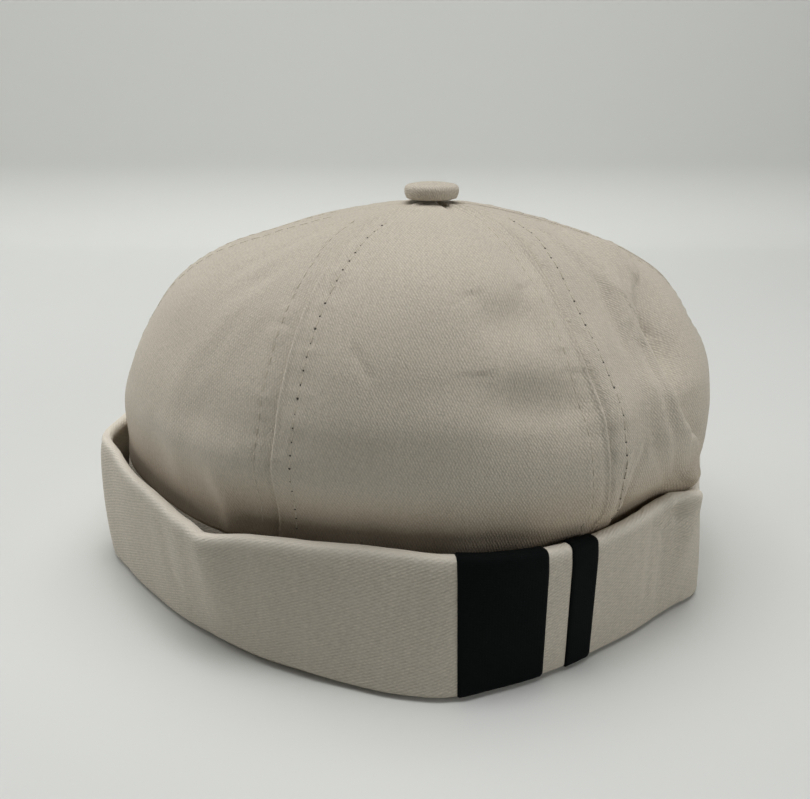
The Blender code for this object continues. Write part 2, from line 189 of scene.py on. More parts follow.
# Seams and stitching, in millimetres.
SEAM_SHAPES = (
    # name, edge and valley before the seam, edge and valley after it, groove, rope
    ("front", 0.05, 0.35, 0.25, 0.25, 0.10, 0.00),
    ("front_side_left", -0.12, 0.60, 0.42, 0.15, 0.10, 0.03),
    ("back_side_left", 0.55, 0.40, -0.15, 0.45, 0.40, 0.34),
    ("back", 0.00, 0.25, 0.25, 0.15, 0.05, 0.05),
    ("back_side_right", 0.00, 0.40, 0.25, 0.30, 0.10, 0.10),
    ("front_side_right", 0.00, 0.45, 0.30, 0.25, 0.10, 0.05),
)
LIP = 0.25
LIP_REACH = 9.0
EDGE_PLACE = 0.55
EDGE_WIDTH = 0.45
VALLEY_WIDTH = 3.6
GROOVE_WIDTH = 0.3
GROOVE_LOW_SHARE = 0.3
ROPE_PLACE = 1.3
ROPE_WIDTH = 0.9
ROPE_PITCH = 1.7
ROPE_SLANT = 1.5
ROW_OFFSET = 5.6
ROW_DENT = 0.18
ROW_WIDTH = 0.60
PUCKER = 0.17
PUCKER_WIDTH = 2.6
WAVE = 0.38
MEAN_RADIUS = 90
STITCH_PITCH = 3.95
STITCH_LENGTH = 2.8
THREAD = 0.36
NEEDLE_HOLE = 0.33
CLOTH = 0.75
ALLOWANCE = 0.55

# The cuff's folds, waves and front bulge, in millimetres.
CUFF_FOLDS = (
    # width and height, line of azimuth and share of the cuff's height
    (1.2, -1.7, ((330.0, 0.89), (330.6, 0.85))),
    (2.6, -1.5, ((331.2, 0.95), (332.0, 0.78))),
    (0.9, 0.55, ((326.8, 0.85), (329.3, 0.94))),
    (0.8, 0.50, ((330.9, 0.76), (332.4, 0.66))),
    (0.7, 0.40, ((328.4, 0.78), (329.4, 0.84))),
    (1.8, 0.30, ((326.6, 0.90), (325.2, 0.25))),
    (1.6, -0.28, ((324.6, 0.88), (323.4, 0.20))),
    (1.6, 0.30, ((322.6, 0.94), (321.8, 0.30))),
    (2.0, 0.20, ((318.5, 0.90), (318.5, 0.30))),
    (3.0, 0.25, ((252.0, 0.95), (254.0, 0.10))),
    (2.6, -0.30, ((217.5, 0.80), (218.5, 0.35))),
    (2.6, 0.20, ((213.5, 0.75), (214.5, 0.35))),
    (3.0, 0.20, ((223.0, 0.80), (222.0, 0.45))),
)
CUFF_WAVE = 0.25
FRONT_BULGE = 0.9
FRONT_BULGE_PLACE = 189
FRONT_BULGE_WIDTH = 9
DEGREE_ROUND_CUFF = 1.6
CUFF_TALL = 45

# The cuff's foot and rim, in metres and degrees.
FOOT_CORNER = 0.0017
FOOT_LIFTS = (
    # azimuth, how far in millimetres the foot stands off the floor
    (178, 0.0), (198, 0.8), (220, 1.3), (236, 1.9), (250, 1.9),
    (262, 1.2), (280, 1.1), (310, 0.9), (334, 0.8), (354, 0.0),
)
RIM_DROP = 0.0017
RIM_DROP_STARTS = (190, 212)
RIM_DROP_ENDS = (308, 326)
RIM_CORNER = 0.0007
RIM_CORNER_PLACE = 230
RIM_CORNER_WIDTH = 2.5
INNER_CORNER = 0.0017
ROLL_HALF = 0.0022
ROLL_HEIGHT = 0.0024
ROLL_LOSS = 0.3
ROLL_LOSS_PLACE = 200
ROLL_LOSS_WIDTH = 14
ROLL_SIDE_POWER = 0.72
ROLL_TOP_POWER = 0.85
ROLL_STEPS = 19
CUFF_STEPS = 44
SHOULDER = 0.0009
SHOULDER_REACH = 0.0075
SHOULDER_LOSS = 0.8
SHOULDER_ENDS = (306, 322)

# The tapes' cloth: its columns in metres, the rest in millimetres.
TAPE_COLUMN = 0.0007
TAPE_EDGE = 0.12
TAPE_RAISE = 0.40
TAPE_ROUNDING = 0.35
TAPE_FLOAT = 0.03

# Columns of a panel's mesh beside a seam, in millimetres from it.
EDGE_STEPS = (0.03, 0.3, 0.6, 1.0, 1.5, 2.2, 3.0, 3.8, 4.5, 5.1, 5.6, 6.1, 6.7, 7.5, 8.6, 9.8)
EDGE_ROOM = 13.0
MIDDLE_COLUMNS = 92
PANEL_ROWS = 150
CUFF_COLUMNS = 640
TURNED_COLUMNS = 120
TIP_CROWDING = 1.35

# The photograph's camera: its place and tilt, and its focal length and the image's width in pixels.
CAMERA_PLACE = (0.0025, -0.3443, 0.2035)
CAMERA_TILT = 23.42
FOCAL_PIXELS = 1100
IMAGE_WIDTH = 810
SENSOR_WIDTH = 36.0

LIGHTS = (
    # name, place, target, width and length, power
    ("overhead", (0.0, 0.05, 0.95), (0.0, 0.05, 0.0), (0.9, 0.7), 6.4),
    ("top", (0.0, 0.0, 1.25), (0.0, 0.0, 0.0), (0.35, 0.35), 2.55),
    ("top_left", (-0.55, -0.10, 0.85), (0.0, 0.0, 0.05), (0.5, 0.6), 0.65),
    ("left_back", (-0.75, 0.33, 0.30), (0.0, 0.1, 0.0), (0.5, 0.5), 1.6),
    ("low_left", (-0.80, -0.15, 0.14), (0.0, 0.0, 0.03), (0.4, 0.26), 0.8),
    ("right_front", (0.75, -0.35, 0.25), (0.0, 0.0, 0.04), (0.4, 0.3), 1.8),
)


def smooth(xs, ys, x):
    """Values at x of a smooth line through the points that never overshoots them."""
    xs, ys, x = (np.asarray(values, float) for values in (xs, ys, x))
    place = np.clip(np.searchsorted(xs, x, side="right") - 1, 0, len(xs) - 2)
    steps = np.diff(ys) / np.diff(xs)
    before, after = steps[:-1], steps[1:]
    turns = before * after <= 0
    slopes = np.zeros(len(xs))
    slopes[1:-1] = np.where(turns, 0, 2 * before * after / np.where(turns, 1, before + after))
    span = xs[place + 1] - xs[place]
    t = np.clip((x - xs[place]) / span, 0, 1)
    low = ys[place] * (1 + 2 * t) * (1 - t) ** 2 + ys[place + 1] * t * t * (3 - 2 * t)
    return low + span * (slopes[place] * t * (1 - t) ** 2 - slopes[place + 1] * t * t * (1 - t))


def from_table(rows, x, column=1):
    """A column of a table at x, smooth between its rows."""
    return smooth([row[0] for row in rows], [row[column] for row in rows], x)


def running(steps):
    """The running length of steps, from zero."""
    return np.concatenate(([0.0], np.cumsum(steps)))


def ramp(low, high, x):
    """Rises smoothly from 0 at low to 1 at high."""
    t = np.clip((x - low) / (high - low), 0, 1)
    return t * t * (3 - 2 * t)


def bell(x, width):
    """A rounded hump, 1 in the middle."""
    return np.exp(-0.5 * (x / width) ** 2)


def soft_noise(x, y, seed):
    """Smooth noise from -1 to 1 over a plane, the same on each run."""
    x, y = np.broadcast_arrays(np.asarray(x, float), np.asarray(y, float))
    i, j = np.floor(x), np.floor(y)
    fx, fy = x - i, y - j
    wx = fx**3 * (10 - 15 * fx + 6 * fx * fx)
    wy = fy**3 * (10 - 15 * fy + 6 * fy * fy)

    def corner(a, b):
        value = np.sin(a * 127.1 + b * 311.7 + seed * 74.7) * 43758.5453
        return 2 * (value - np.floor(value)) - 1

    low = corner(i, j) * (1 - wx) + corner(i + 1, j) * wx
    high = corner(i, j + 1) * (1 - wx) + corner(i + 1, j + 1) * wx
    return low * (1 - wy) + high * wy


def oval(azimuth, half_length, half_width):
    """Radius of an oval plan at an azimuth."""
    angle = np.radians(azimuth)
    return 1.0 / np.hypot(np.cos(angle) / half_length, np.sin(angle) / half_width)


def line_places(azimuth, share, line, degree, height):
    """Distance from places on the cloth to a line, and whether they lie after it.

    The line's points are azimuths and shares of the height, and degree and height are their real lengths.
    """
    px, py = azimuth * degree, share * height
    nearest = np.full(np.broadcast(px, py).shape, np.inf)
    after = np.zeros(nearest.shape, bool)
    for start, end in zip(line, line[1:]):
        ax, ay = start[0] * degree, start[1] * height
        bx, by = end[0] * degree - ax, end[1] * height - ay
        along = np.clip(((px - ax) * bx + (py - ay) * by) / (bx * bx + by * by), 0, 1)
        off = np.hypot(px - ax - along * bx, py - ay - along * by)
        after = np.where(off < nearest, bx * (py - ay) - by * (px - ax) > 0, after)
        nearest = np.minimum(nearest, off)
    return nearest, after


def crown_line(azimuth, rise, line):
    """Distance in metres over the crown to a line, and whether the places lie after it."""
    degree = math.radians(1.0) * CUFF_HALF_WIDTH
    return line_places(np.mod(azimuth, 360), rise, line, degree, CROWN_HEIGHT - BAND_HEIGHT)


def crown_share(azimuth, rise):
    """Share of the oval's radius that the crown has at an azimuth and rise."""
    folded = np.mod(azimuth, 360)
    folded = np.where(folded < 180, 360 - folded, folded)
    spacing = CROWN_AZIMUTHS[1] - CROWN_AZIMUTHS[0]
    share = 0.0
    for column, centre in enumerate(CROWN_AZIMUTHS, start=1):
        weight = 0.5 + 0.5 * np.cos(np.pi * np.minimum(abs(folded - centre) / spacing, 1))
        share = share + weight * from_table(CROWN_ROWS, rise, column)
    return share


def crown_swell(azimuth, rise):
    """How far the main folds push the cloth out."""
    swell = 0.0
    for width, height, line in CROWN_FOLDS:
        off, _ = crown_line(azimuth, rise, line)
        swell = swell + height * CROWN_FOLD * bell(off, width * CROWN_FOLD)
    return swell


def crown_radius(azimuth, rise):
    """Distance from the crown's axis to its outer face."""
    inset = CUFF_CLOTH + CROWN_CLEARANCE
    reach = oval(azimuth, CUFF_HALF_LENGTH - inset, CUFF_HALF_WIDTH - inset) - TIP_RADIUS
    facing = 0.5 * np.pi * rise * rise
    swell = crown_swell(azimuth, rise) * np.cos(facing)
    return TIP_RADIUS + reach * crown_share(azimuth, rise) + swell


def crown_point(azimuth, rise):
    """Points on the crown's outer face as the solids have it."""
    azimuth, rise = np.broadcast_arrays(np.asarray(azimuth, float), np.asarray(rise, float))
    radius = crown_radius(azimuth, rise)
    angle = np.radians(azimuth)
    x = APEX_BACK * rise + radius * np.cos(angle)
    y = APEX_SIDE * rise + radius * np.sin(angle)
    z = BAND_HEIGHT + (CROWN_HEIGHT - BAND_HEIGHT) * rise - CROWN_LEAN * y * rise
    z = z + crown_swell(azimuth, rise) * np.sin(0.5 * np.pi * rise * rise)
    return np.stack((x, y, z), axis=-1)


def cuff_value(azimuth, column):
    """A column of CUFF_ROWS at any azimuth, smooth all the way round."""
    rows = [(row[0] - 360, row[column]) for row in CUFF_ROWS[-2:]]
    rows += [(row[0], row[column]) for row in CUFF_ROWS]
    rows += [(row[0] + 360, row[column]) for row in CUFF_ROWS[:2]]
    return from_table(rows, np.mod(azimuth, 360))


def rim_height(azimuth):
    """Height of the cuff's rim."""
    return CUFF_HEIGHT * (1.0 - cuff_value(azimuth, 3))


def outer_face(azimuth, height):
    """Radius of the cuff's outer face at a height."""
    share = height / rim_height(azimuth)
    plain = oval(azimuth, CUFF_HALF_LENGTH, CUFF_HALF_WIDTH)
    straight = cuff_value(azimuth, 1) * (1.0 - share) + cuff_value(azimuth, 2) * share
    return plain * (straight + cuff_value(azimuth, 4) * 4.0 * share * (1.0 - share))


def plan_middle():
    """Middle of the box around the cuff and the crown in plan, as the CAD takes it."""
    azimuths = np.linspace(0, 360, 120, endpoint=False)
    turns = np.stack((np.cos(np.radians(azimuths)), np.sin(np.radians(azimuths))), axis=-1)
    heights = [0.0012, *(share * (rim_height(azimuths) - CUFF_CLOTH) for share in (0.35, 0.70))]
    radii = [outer_face(azimuths, height) for height in heights]
    radii.append(cuff_value(azimuths, 2) * oval(azimuths, CUFF_HALF_LENGTH, CUFF_HALF_WIDTH))
    points = [radius[:, None] * turns for radius in radii]
    points += [crown_point(azimuths, row[0])[:, :2] for row in CROWN_ROWS]
    points = np.concatenate(points)
    return np.array([*(points.min(axis=0) + points.max(axis=0)) / 2, 0.0])


MIDDLE = plan_middle()


# The fine relief of the crown's cloth.
def near_seam(column):
    """Azimuth of one of the two leaning seams at any rise."""
    return lambda rise: from_table(SEAM_ROWS, rise, column)


def straight_seam(azimuth):
    """A seam that keeps one azimuth."""
    return lambda rise: np.full(np.shape(rise), float(azimuth))


def mirrored(seam):
    """The same seam on the other side of the cap, one turn on."""
    return lambda rise: 720 - seam(rise)


def unit(vectors):
    """The vectors at length one."""
    return vectors / np.maximum(np.linalg.norm(vectors, axis=-1, keepdims=True), 1e-12)


def creases(azimuth, rise):
    """Height of the fine creases in millimetres."""
    height = 0.0
    for before, behind, swell, line in CREASES:
        off, after = crown_line(azimuth, rise, line)
        height = height + swell * bell(1000 * off, np.where(after, behind, before))
    return height


def waist(azimuth, rise):
    """How far in millimetres the crown draws in behind the cuff's rim."""
    depth = from_table(WAIST_ROWS, np.mod(azimuth, 360))
    return depth * (1 - ramp(WAIST_FULL, WAIST_REACH, rise))


def seam_relief(away, along, rise, edge, valley, groove, rope, seed):
    """Height in millimetres of the cloth beside a seam."""
    groove = groove * (GROOVE_LOW_SHARE + (1 - GROOVE_LOW_SHARE) * ramp(0.45, 0.70, rise))
    height = LIP * (1 - ramp(ROW_OFFSET + 0.2, LIP_REACH, away))
    height = height + edge * bell(away - EDGE_PLACE, EDGE_WIDTH) - valley * bell(away, VALLEY_WIDTH)
    height = height - groove * np.exp(-((away / GROOVE_WIDTH) ** 2))
    twist = np.sin(2 * np.pi * (along + ROPE_SLANT * away) / ROPE_PITCH)
    height = height + rope * twist * bell(away - ROPE_PLACE, ROPE_WIDTH)
    waves = soft_noise(along / 4.2, away / 9.0, seed) + 0.6 * soft_noise(along / 2.3, 0.0, seed + 5)
    pulled = 0.75 + 0.25 * np.cos(2 * np.pi * along / STITCH_PITCH)
    dent = -ROW_DENT * pulled * bell(away - ROW_OFFSET, ROW_WIDTH)
    return height + dent + PUCKER * waves * bell(away - ROW_OFFSET, PUCKER_WIDTH)


def crown_relief(azimuth, rise, panel):
    """Height in millimetres of the cloth above the solid's face, in one panel."""
    start, end = panel.start(rise), panel.end(rise)
    from_start = np.radians(azimuth - start) * 1000 * crown_radius(start, rise)
    to_end = np.radians(end - azimuth) * 1000 * crown_radius(end, rise)
    along = panel.along(rise)
    across = np.radians(azimuth - 360) * MEAN_RADIUS
    # Broad waves and smaller ones, which fade out beside the seams and at the tip.
    inside = ramp(2.0, 16.0, np.minimum(from_start, to_end)) * ramp(1.0, 0.9, rise)
    waves = soft_noise(across / 26, along / 30, 1.0) + 0.45 * soft_noise(across / 11, along / 14, 2.0)
    height = creases(azimuth, rise) - waist(azimuth, rise) + WAVE * waves * inside
    first = SEAM_SHAPES[panel.number]
    last = SEAM_SHAPES[(panel.number + 1) % 6]
    height = height + seam_relief(from_start, along, rise, *first[3:7], panel.seed)
    return height + seam_relief(to_end, along, rise, last[1], last[2], last[5], 0.0, panel.seed + 50)


def panel_rise(up):
    """Rise of a row of a panel, closer together near the tips."""
    return 1.0 - (1.0 - up) ** TIP_CROWDING


# Where the cloth's length up a panel is measured.
RISES = panel_rise(np.linspace(0, 1, 400))


def path_length(azimuths, rises):
    """Distance in millimetres up the cloth from its foot, at each rise."""
    points = crown_point(azimuths, rises)
    return 1000 * running(np.linalg.norm(np.diff(points, axis=0), axis=1))


class Panel:
    """One panel of the crown between two seams."""

    def __init__(self, name, number, start, end):
        self.name, self.number, self.start, self.end = name, number, start, end
        self.seed = 100.0 + 7 * number
        self.lengths = path_length((start(RISES) + end(RISES)) / 2, RISES)

    def along(self, rise):
        return np.interp(rise, RISES, self.lengths)

    def point(self, azimuth, rise):
        """Points on the panel's cloth, and the way out of it."""
        base = crown_point(azimuth, rise)
        turn, step = 0.02, 0.001
        east = crown_point(azimuth + turn, rise) - crown_point(azimuth - turn, rise)
        high = np.minimum(rise + step / 2, 1.0)
        north = crown_point(azimuth, high) - crown_point(azimuth, high - step)
        out = unit(np.cross(unit(east), unit(north)))
        height = crown_relief(azimuth, rise, self)
        return base + out * height[..., None] / 1000, out


def add_object(name, data):
    """A new object in the scene."""
    made = bpy.data.objects.new(name, data)
    bpy.context.scene.collection.objects.link(made)
    return made


def make_mesh(name, points, faces, uvs):
    """A mesh object with a UV map in metres over the cloth, one pair for each face corner."""
    mesh = bpy.data.meshes.new(name)
    mesh.from_pydata((points - MIDDLE).tolist(), [], faces.tolist())
    layer = mesh.uv_layers.new(name="cloth")
    layer.data.foreach_set("uv", np.ascontiguousarray(uvs, dtype=np.float32).ravel())
    mesh.shade_smooth()
    return add_object(name, mesh)


def closed_sheet(name, outer, inner, uv):
    """A closed sheet between two grids of points, its edges filled."""
    rows, columns = outer.shape[:2]
    index = np.arange(rows * columns).reshape(rows, columns)
    back = index + rows * columns

    def quads(a, b, c, d):
        return np.stack((a, b, c, d), axis=-1).reshape(-1, 4)

    faces = [
        quads(index[:-1, :-1], index[:-1, 1:], index[1:, 1:], index[1:, :-1]),
        quads(back[:-1, :-1], back[1:, :-1], back[1:, 1:], back[:-1, 1:]),
        quads(index[0, 1:], index[0, :-1], back[0, :-1], back[0, 1:]),
        quads(index[-1, :-1], index[-1, 1:], back[-1, 1:], back[-1, :-1]),
        quads(index[:-1, 0], index[1:, 0], back[1:, 0], back[:-1, 0]),
        quads(index[1:, -1], index[:-1, -1], back[:-1, -1], back[1:, -1]),
    ]
    faces = np.concatenate(faces)
    points = np.concatenate((outer.reshape(-1, 3), inner.reshape(-1, 3)))
    flat = np.concatenate((uv.reshape(-1, 2), uv.reshape(-1, 2)))
    return make_mesh(name, points, faces, flat[faces.ravel()])


def panel_sheet(panel):
    """The cloth of one panel as a closed sheet, thicker over its seam allowances."""
    rise = panel_rise(np.linspace(0, 1, PANEL_ROWS))[:, None]
    start, end = panel.start(rise), panel.end(rise)
    first, last = 1000 * crown_radius(start, rise), 1000 * crown_radius(end, rise)
    room = np.radians(end - start) * (first + last) / 4
    steps = np.array(EDGE_STEPS)[None, :] * np.minimum(1.0, room / EDGE_ROOM)
    low = start + np.degrees(steps / first)
    high = (end - np.degrees(steps / last))[:, ::-1]
    share = np.linspace(0, 1, MIDDLE_COLUMNS + 2)[None, 1:-1]
    azimuth = np.concatenate((low, low[:, -1:] * (1 - share) + high[:, :1] * share, high), axis=1)
    rise = np.broadcast_to(rise, azimuth.shape)
    outer, out = panel.point(azimuth, rise)
    edge = np.minimum(np.radians(azimuth - start) * first, np.radians(end - azimuth) * last)
    thick = CLOTH + ALLOWANCE * (1 - ramp(LIP_REACH - 0.6, LIP_REACH, edge)) * ramp(0.2, 1.2, edge)
    inner = outer - out * (thick / 1000)[..., None]
    across = np.radians(azimuth - (start + end) / 2) * crown_radius((start + end) / 2, rise)
    uv = np.stack((across, panel.along(rise) / 1000), axis=-1)
    return closed_sheet(panel.name + "_cloth", outer, inner, uv)


def tube(path, normals, radii, sides=6):
    """Rings of points round a path, and the faces that join and close them."""
    along = unit(np.gradient(path, axis=0))
    side = unit(np.cross(along, normals))
    rise = np.cross(side, along)
    turns = np.linspace(0, 2 * np.pi, sides, endpoint=False)
    rings = path[:, None] + radii[:, None, None] * (
        side[:, None] * np.cos(turns)[None, :, None] + rise[:, None] * np.sin(turns)[None, :, None]
    )
    index = np.arange(len(path) * sides).reshape(len(path), sides)
    after = np.roll(index, -1, axis=1)
    faces = np.stack((index[:-1], after[:-1], after[1:], index[1:]), axis=-1).reshape(-1, 4)
    return rings.reshape(-1, 3), faces


def join(parts):
    """The points, faces and marks of several parts as one."""
    points, faces, marks = zip(*parts)
    counts = np.cumsum([0] + [len(part) for part in points])
    faces = [part + count for part, count in zip(faces, counts)]
    return np.concatenate(points), np.concatenate(faces), np.concatenate(marks)


def shaded_needle_hole(centre, along, out, size):
    """A small dark disc on the cloth where the thread goes in, painted shade standing in for the hole's
    depth, its faces marked as a hole.
    """
    turns = np.linspace(0, 2 * np.pi, 8, endpoint=False)
    rim = np.cos(turns)[:, None] * along + np.sin(turns)[:, None] * np.cross(along, out)
    disc = centre + out * 0.00006 + size * rim
    first = np.arange(8)
    after = np.roll(first, -1)
    lid = first[[[0, 1, 2, 3], [0, 3, 4, 7], [4, 5, 6, 7]]]
    faces = np.concatenate((np.stack((first + 8, after + 8, after, first), axis=-1), lid))
    return np.concatenate((disc, disc - out * 0.0002)), faces, np.ones(len(faces), bool)


def stitch_row(path, normals, pricked):
    """Stitches along a path on the cloth: points, faces and which faces are needle holes."""
    place = running(np.linalg.norm(np.diff(path, axis=0), axis=1) * 1000)
    parts = []
    t = np.linspace(-1, 1, 8)
    for number in range(int((place[-1] - STITCH_LENGTH) // STITCH_PITCH) + 1):
        uneven = math.sin(number * 2.4) * math.cos(number * 5.1)
        where = number * STITCH_PITCH + 0.3 * uneven + STITCH_LENGTH * (t + 1) / 2
        middle = np.stack([np.interp(where, place, path[:, axis]) for axis in range(3)], axis=-1)
        out = unit(np.stack([np.interp(where, place, normals[:, axis]) for axis in range(3)], axis=-1))
        lift = THREAD * (0.42 * (1 - t**4) - 0.30) / 1000
        radii = THREAD / 2000 * np.sqrt(np.maximum(1 - t**6, 0.02))
        ring, quads = tube(middle + out * lift[:, None], out, radii)
        parts.append((ring, quads, np.zeros(len(quads), bool)))
        if pricked:
            size = NEEDLE_HOLE * (0.8 + 0.4 * uneven) / 1000
            parts.append(shaded_needle_hole(middle[0], unit(middle[-1] - middle[0]), out[0], size))
    return join(parts)


def stitches(name, rows, thread_material, hole_shade_material):
    """One piece with the two rows of stitches of a seam."""
    points, faces, hole_shade_marks = join([stitch_row(*row, pricked) for row, pricked in zip(rows, (False, True))])
    made = make_mesh(name, points, faces, np.zeros((faces.size, 2)))
    made.data.materials.append(thread_material)
    made.data.materials.append(hole_shade_material)
    made.data.polygons.foreach_set("material_index", hole_shade_marks.astype(np.int32))
    return made


def cuff_relief(azimuth, share):
    """How far in millimetres the cuff's cloth stands off the solid's outer face."""
    around = np.mod(azimuth, 360)
    height = 0.0
    for width, swell, line in CUFF_FOLDS:
        off, _ = line_places(around, share, line, DEGREE_ROUND_CUFF, CUFF_TALL)
        height = height + swell * bell(off, width)
    waves = soft_noise(around / 15, share * 1.4, 11.0) + 0.5 * soft_noise(around / 6, share * 2.5, 12.0)
    height = height + CUFF_WAVE * waves * np.clip(share, 0, 1)
    return height + FRONT_BULGE * bell(around - FRONT_BULGE_PLACE, FRONT_BULGE_WIDTH)


def cloth_rim(azimuth):
    """Height of the cloth's rim, lower on the near side and more so at the sharp corner."""
    around = np.mod(azimuth, 360)
    drop = RIM_DROP * ramp(*RIM_DROP_STARTS, around) * (1 - ramp(*RIM_DROP_ENDS, around))
    corner = RIM_CORNER * np.exp(-abs(around - RIM_CORNER_PLACE) / RIM_CORNER_WIDTH)
    return rim_height(azimuth) - drop - corner


def foot_lift(azimuth):
    """How far the cuff's foot stands off the floor."""
    return from_table(FOOT_LIFTS, np.mod(azimuth, 360)) / 1000


def cuff_face(azimuth, height):
    """Radius of the cuff's cloth at a height, drawn in near its rolled rim."""
    share = height / rim_height(azimuth)
    near_rim = np.clip((height - cloth_rim(azimuth) + SHOULDER_REACH) / SHOULDER_REACH, 0, 1)
    lean = SHOULDER * near_rim**2 * (1 - SHOULDER_LOSS * ramp(*SHOULDER_ENDS, np.mod(azimuth, 360)))
    return outer_face(azimuth, height) + cuff_relief(azimuth, share) / 1000 - lean


def outer_line(azimuth, proud, low, inside):
    """Radius and height of a line up the cuff from its foot, over the rolled rim and down inside."""
    rim, lift = cloth_rim(azimuth), foot_lift(azimuth)
    quarter_turn = 1.57
    line = []
    for turn in np.linspace(low, 0.5, 8) * np.pi:
        height = FOOT_CORNER * (1 - math.cos(turn)) - proud * math.cos(turn)
        inward = FOOT_CORNER * (1 - math.sin(turn))
        spread = cuff_relief(azimuth, height / rim) / 1000 * turn / quarter_turn
        radius = outer_face(azimuth, height) - inward + spread + proud * math.sin(turn)
        line.append((radius, height + lift))
    top = rim - ROLL_HEIGHT
    foot = FOOT_CORNER + lift
    for share in np.linspace(0, 1, CUFF_STEPS)[1:]:
        height = foot + (top - foot) * share
        line.append((cuff_face(azimuth, height) + proud, height))
    loss = ROLL_LOSS * bell(np.mod(azimuth, 360) - ROLL_LOSS_PLACE, ROLL_LOSS_WIDTH)
    half = ROLL_HALF * (1 - loss)
    middle = cuff_face(azimuth, top) - half
    for turn in np.linspace(0, np.pi, ROLL_STEPS)[1:]:
        along = abs(math.cos(turn)) ** ROLL_SIDE_POWER * math.copysign(1, math.cos(turn))
        radius = middle + (half + proud) * along
        line.append((radius, top + (ROLL_HEIGHT + proud) * math.sin(turn) ** ROLL_TOP_POWER))
    for share in inside:
        height = FOLD_CLOTH + (top - FOLD_CLOTH) * share
        thick = CUFF_CLOTH + (2 * half - CUFF_CLOTH) * share**3
        line.append((cuff_face(azimuth, height) - thick - proud, height))
    return line


def cuff_line(azimuth):
    """Radius and height of the line round the cuff's section, out and up, then in and down."""
    corner = INNER_CORNER
    line = outer_line(azimuth, 0.0, 0.0, np.linspace(1, 0, 14)[1:])
    slot_in = outer_face(azimuth, FOLD_CLOTH) - CUFF_CLOTH - FOLD_SLOT
    foot = np.zeros(azimuth.shape)
    base = crown_radius(azimuth, foot) - waist(azimuth, foot) / 1000
    band_top = BAND_HEIGHT - BAND_GAP
    for share in np.linspace(0, 1, 6):
        line.append((slot_in + share * (base - slot_in), FOLD_CLOTH + share * (band_top - FOLD_CLOTH)))
    inner_foot = slot_in - BAND_CLOTH
    for share in np.linspace(1, 0, 22):
        radius = inner_foot + share * (base - BAND_CLOTH - inner_foot)
        line.append((radius, corner + share * (band_top - corner)))
    for turn in np.linspace(0, 0.5 * np.pi, 5)[1:]:
        line.append((inner_foot + corner * (1 - math.cos(turn)), corner * (1 - math.sin(turn))))
    return line


def swept(azimuth, line):
    """A line's radius and height at each azimuth, and its points in space."""
    section = np.array([[np.broadcast_to(part, azimuth.shape) for part in point] for point in line])
    radius, height = section[:, 0], section[:, 1]
    angle = np.radians(azimuth)
    return section, np.stack((radius * np.cos(angle), radius * np.sin(angle), height), axis=-1)


def cuff_cloth():
    """The cuff as one closed ring."""
    azimuth = np.linspace(0, 360, CUFF_COLUMNS, endpoint=False)
    section, points = swept(azimuth, cuff_line(azimuth))
    rows, halfway_up = len(points), 30
    index = np.arange(rows * CUFF_COLUMNS).reshape(rows, CUFF_COLUMNS)
    up, on = np.roll(index, -1, axis=0), np.roll(index, -1, axis=1)
    both = np.roll(up, -1, axis=1)
    faces = np.stack((index, on, both, up), axis=-1).reshape(-1, 4)
    around = points[halfway_up]
    u = running(np.linalg.norm(np.roll(around, -1, axis=0) - around, axis=1))
    v = running(np.linalg.norm(np.roll(section, -1, axis=0) - section, axis=1).mean(axis=1))
    low_u, high_u, low_v, high_v = u[:-1], u[1:], v[:-1, None], v[1:, None]
    corners = ((low_u, low_v), (high_u, low_v), (high_u, high_v), (low_u, high_v))
    uvs = np.stack([np.stack(np.broadcast_arrays(*pair), axis=-1) for pair in corners], axis=2)
    return make_mesh("cuff_cloth", points.reshape(-1, 3), faces, uvs.reshape(-1, 2))


def tape_cloth(name, start, width):
    """One tape as a closed sheet, and the azimuth where it ends."""
    span = math.degrees(width / outer_face(start, CUFF_HEIGHT / 2))
    share = np.linspace(0, 1, max(12, round(width / TAPE_COLUMN)))
    azimuth = start + share * span
    edge = np.minimum(share, 1 - share) * width * 1000
    thick = TAPE_EDGE + TAPE_RAISE * np.sqrt(np.clip(edge / TAPE_ROUNDING, 0, 1))
    tall = CUFF_HEIGHT - ROLL_HEIGHT - FOLD_CLOTH
    inside = 1 - np.linspace(0, TAPE_TUCK - 0.0015, 5)[1:] / tall

    def face(proud):
        _, points = swept(azimuth, outer_line(azimuth, proud / 1000, 0.25, inside))
        return points

    inner = face(TAPE_FLOAT)
    outer = inner + (face(TAPE_FLOAT + 1.0) - inner) * thick[None, :, None]
    v = running(np.linalg.norm(np.diff(outer[:, 0], axis=0), axis=1))
    uv = np.stack(np.broadcast_arrays(share[None, :] * width, v[:, None]), axis=-1)
    return closed_sheet(name, outer, inner, uv), start + span


